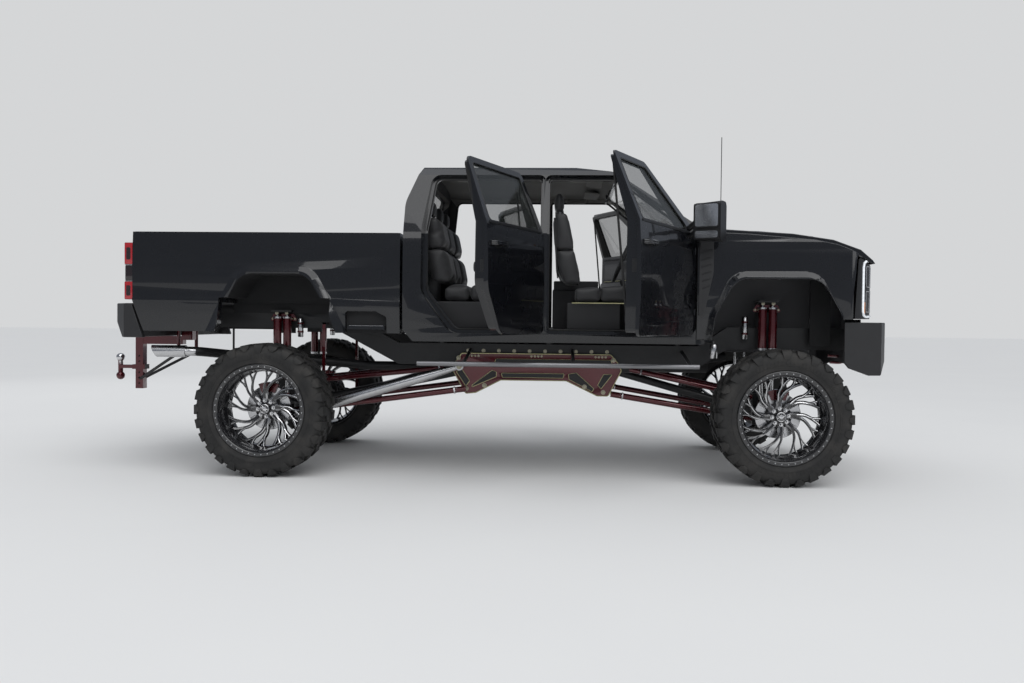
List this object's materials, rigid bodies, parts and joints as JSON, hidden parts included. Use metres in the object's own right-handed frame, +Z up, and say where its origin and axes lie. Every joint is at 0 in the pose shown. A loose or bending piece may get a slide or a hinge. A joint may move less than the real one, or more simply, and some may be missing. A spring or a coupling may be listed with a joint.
{
  "type": "lifted crew-cab pickup truck",
  "caption": "Lifted four-door pickup truck on large mud tyres with deep-dish wheels, its doors standing open.",
  "frame": {"origin": "on the ground under the middle of the overall length, on the centre plane", "axes": "+X forward, +Y to the truck's left, +Z up"},
  "size_m": [6.698, 4.122, 2.697],
  "materials": {
    "gloss_black_paint": "gloss clear coat",
    "satin_black": "satin",
    "window_glass": "tinted",
    "lamp_red": "clear lens",
    "lamp_clear": "clear lens",
    "interior_plastic": "grained",
    "seat_leather": "stitched",
    "dark_red_paint": "candy gloss",
    "polished_steel": "polished",
    "grey_tube": "satin",
    "chassis_black": "semi-gloss",
    "cast_metal": "as cast",
    "wheel_black": "gloss with milled edges",
    "tyre_rubber": "moulded"
  },
  "bodies": {
    "truck": {"cab_shell": "gloss_black_paint", "cab_glass": "window_glass", "dashboard": "interior_plastic", "steering_wheel": "interior_plastic", "console": "interior_plastic", "seat_bases": "interior_plastic", "front_seats": "seat_leather", "rear_bench": "seat_leather", "load_bed": "gloss_black_paint", "tail_lamps": "lamp_red", "front_fenders": "gloss_black_paint", "fender_vents": "satin_black", "headlamps": "lamp_clear", "grille": "satin_black", "front_bumper": "satin_black", "rear_bumper": "satin_black", "drop_hitch": "dark_red_paint", "frame_rails": "chassis_black", "rear_axle": "chassis_black", "front_axle": "chassis_black", "suspension_links": "dark_red_paint", "link_brackets": "dark_red_paint", "traction_bars": "polished_steel", "shock_absorbers": "dark_red_paint", "side_steps": "grey_tube", "engine_block": "cast_metal", "radiator": "cast_metal", "driveline": "chassis_black", "fuel_tank": "chassis_black", "exhaust": "chassis_black", "antenna": "satin_black"},
    "hood": {"hood": "gloss_black_paint"},
    "tailgate": {"tailgate": "gloss_black_paint"},
    "front_door_right": {"front_door_right": "gloss_black_paint", "front_door_glass_right": "window_glass", "mirror_right": "gloss_black_paint"},
    "rear_door_right": {"rear_door_right": "gloss_black_paint", "rear_door_glass_right": "window_glass"},
    "front_door_left": {"front_door_left": "gloss_black_paint", "front_door_glass_left": "window_glass", "mirror_left": "gloss_black_paint"},
    "rear_door_left": {"rear_door_left": "gloss_black_paint", "rear_door_glass_left": "window_glass"},
    "knuckle_right": {"knuckle_right": "chassis_black"},
    "knuckle_left": {"knuckle_left": "chassis_black"},
    "tie_rod": {"tie_rod": "chassis_black"},
    "wheel_front_right": {"rim_front_right": "wheel_black", "tyre_front_right": "tyre_rubber"},
    "wheel_front_left": {"rim_front_left": "wheel_black", "tyre_front_left": "tyre_rubber"},
    "wheel_rear_right": {"rim_rear_right": "wheel_black", "tyre_rear_right": "tyre_rubber"},
    "wheel_rear_left": {"rim_rear_left": "wheel_black", "tyre_rear_left": "tyre_rubber"}
  },
  "joints": [
    {"name": "hood_hinge", "type": "hinge", "parent": "truck", "child": "hood", "pos_m": [1.874, 0, 1.964], "axis": [0, -1, 0], "range_deg": [0, 50]},
    {"name": "tailgate_hinge", "type": "hinge", "parent": "truck", "child": "tailgate", "pos_m": [-2.691, 0, 1.442], "axis": [0, -1, 0], "range_deg": [0, 90]},
    {"name": "front_door_right_hinge", "type": "hinge", "parent": "truck", "child": "front_door_right", "pos_m": [1.766, -1.004, 1.565], "axis": [0, 0, 1], "range_deg": [-64, 6]},
    {"name": "rear_door_right_hinge", "type": "hinge", "parent": "truck", "child": "rear_door_right", "pos_m": [0.578, -1.004, 1.565], "axis": [0, 0, 1], "range_deg": [-67.5, 6]},
    {"name": "front_door_left_hinge", "type": "hinge", "parent": "truck", "child": "front_door_left", "pos_m": [1.766, 1.004, 1.565], "axis": [0, 0, -1], "range_deg": [-64, 6]},
    {"name": "rear_door_left_hinge", "type": "hinge", "parent": "truck", "child": "rear_door_left", "pos_m": [0.578, 1.004, 1.565], "axis": [0, 0, -1], "range_deg": [-67.5, 6]},
    {"name": "steer_right", "type": "hinge", "parent": "truck", "child": "knuckle_right", "pos_m": [2.437, -0.742, 0.524], "axis": [0, 0, 1], "range_deg": [-28, 28]},
    {"name": "steer_left", "type": "hinge", "parent": "truck", "child": "knuckle_left", "pos_m": [2.437, 0.742, 0.524], "axis": [0, 0, 1], "range_deg": [-28, 28]},
    {"name": "tie_rod_pivot", "type": "hinge", "parent": "knuckle_right", "child": "tie_rod", "pos_m": [2.625, -0.742, 0.592], "axis": [0, 0, 1], "range_deg": [-28, 28]},
    {"name": "wheel_front_right_spin", "type": "hinge", "parent": "knuckle_right", "child": "wheel_front_right", "pos_m": [2.437, -1.022, 0.524], "axis": [0, 1, 0], "continuous": true},
    {"name": "wheel_front_left_spin", "type": "hinge", "parent": "knuckle_left", "child": "wheel_front_left", "pos_m": [2.437, 1.022, 0.524], "axis": [0, 1, 0], "continuous": true},
    {"name": "wheel_rear_right_spin", "type": "hinge", "parent": "truck", "child": "wheel_rear_right", "pos_m": [-1.622, -1.022, 0.524], "axis": [0, 1, 0], "continuous": true},
    {"name": "wheel_rear_left_spin", "type": "hinge", "parent": "truck", "child": "wheel_rear_left", "pos_m": [-1.622, 1.022, 0.524], "axis": [0, 1, 0], "continuous": true}
  ],
  "couplings": [
    {"joint": "steer_left", "follows": "steer_right", "ratio": 1},
    {"joint": "tie_rod_pivot", "follows": "steer_right", "ratio": -1}
  ]
}
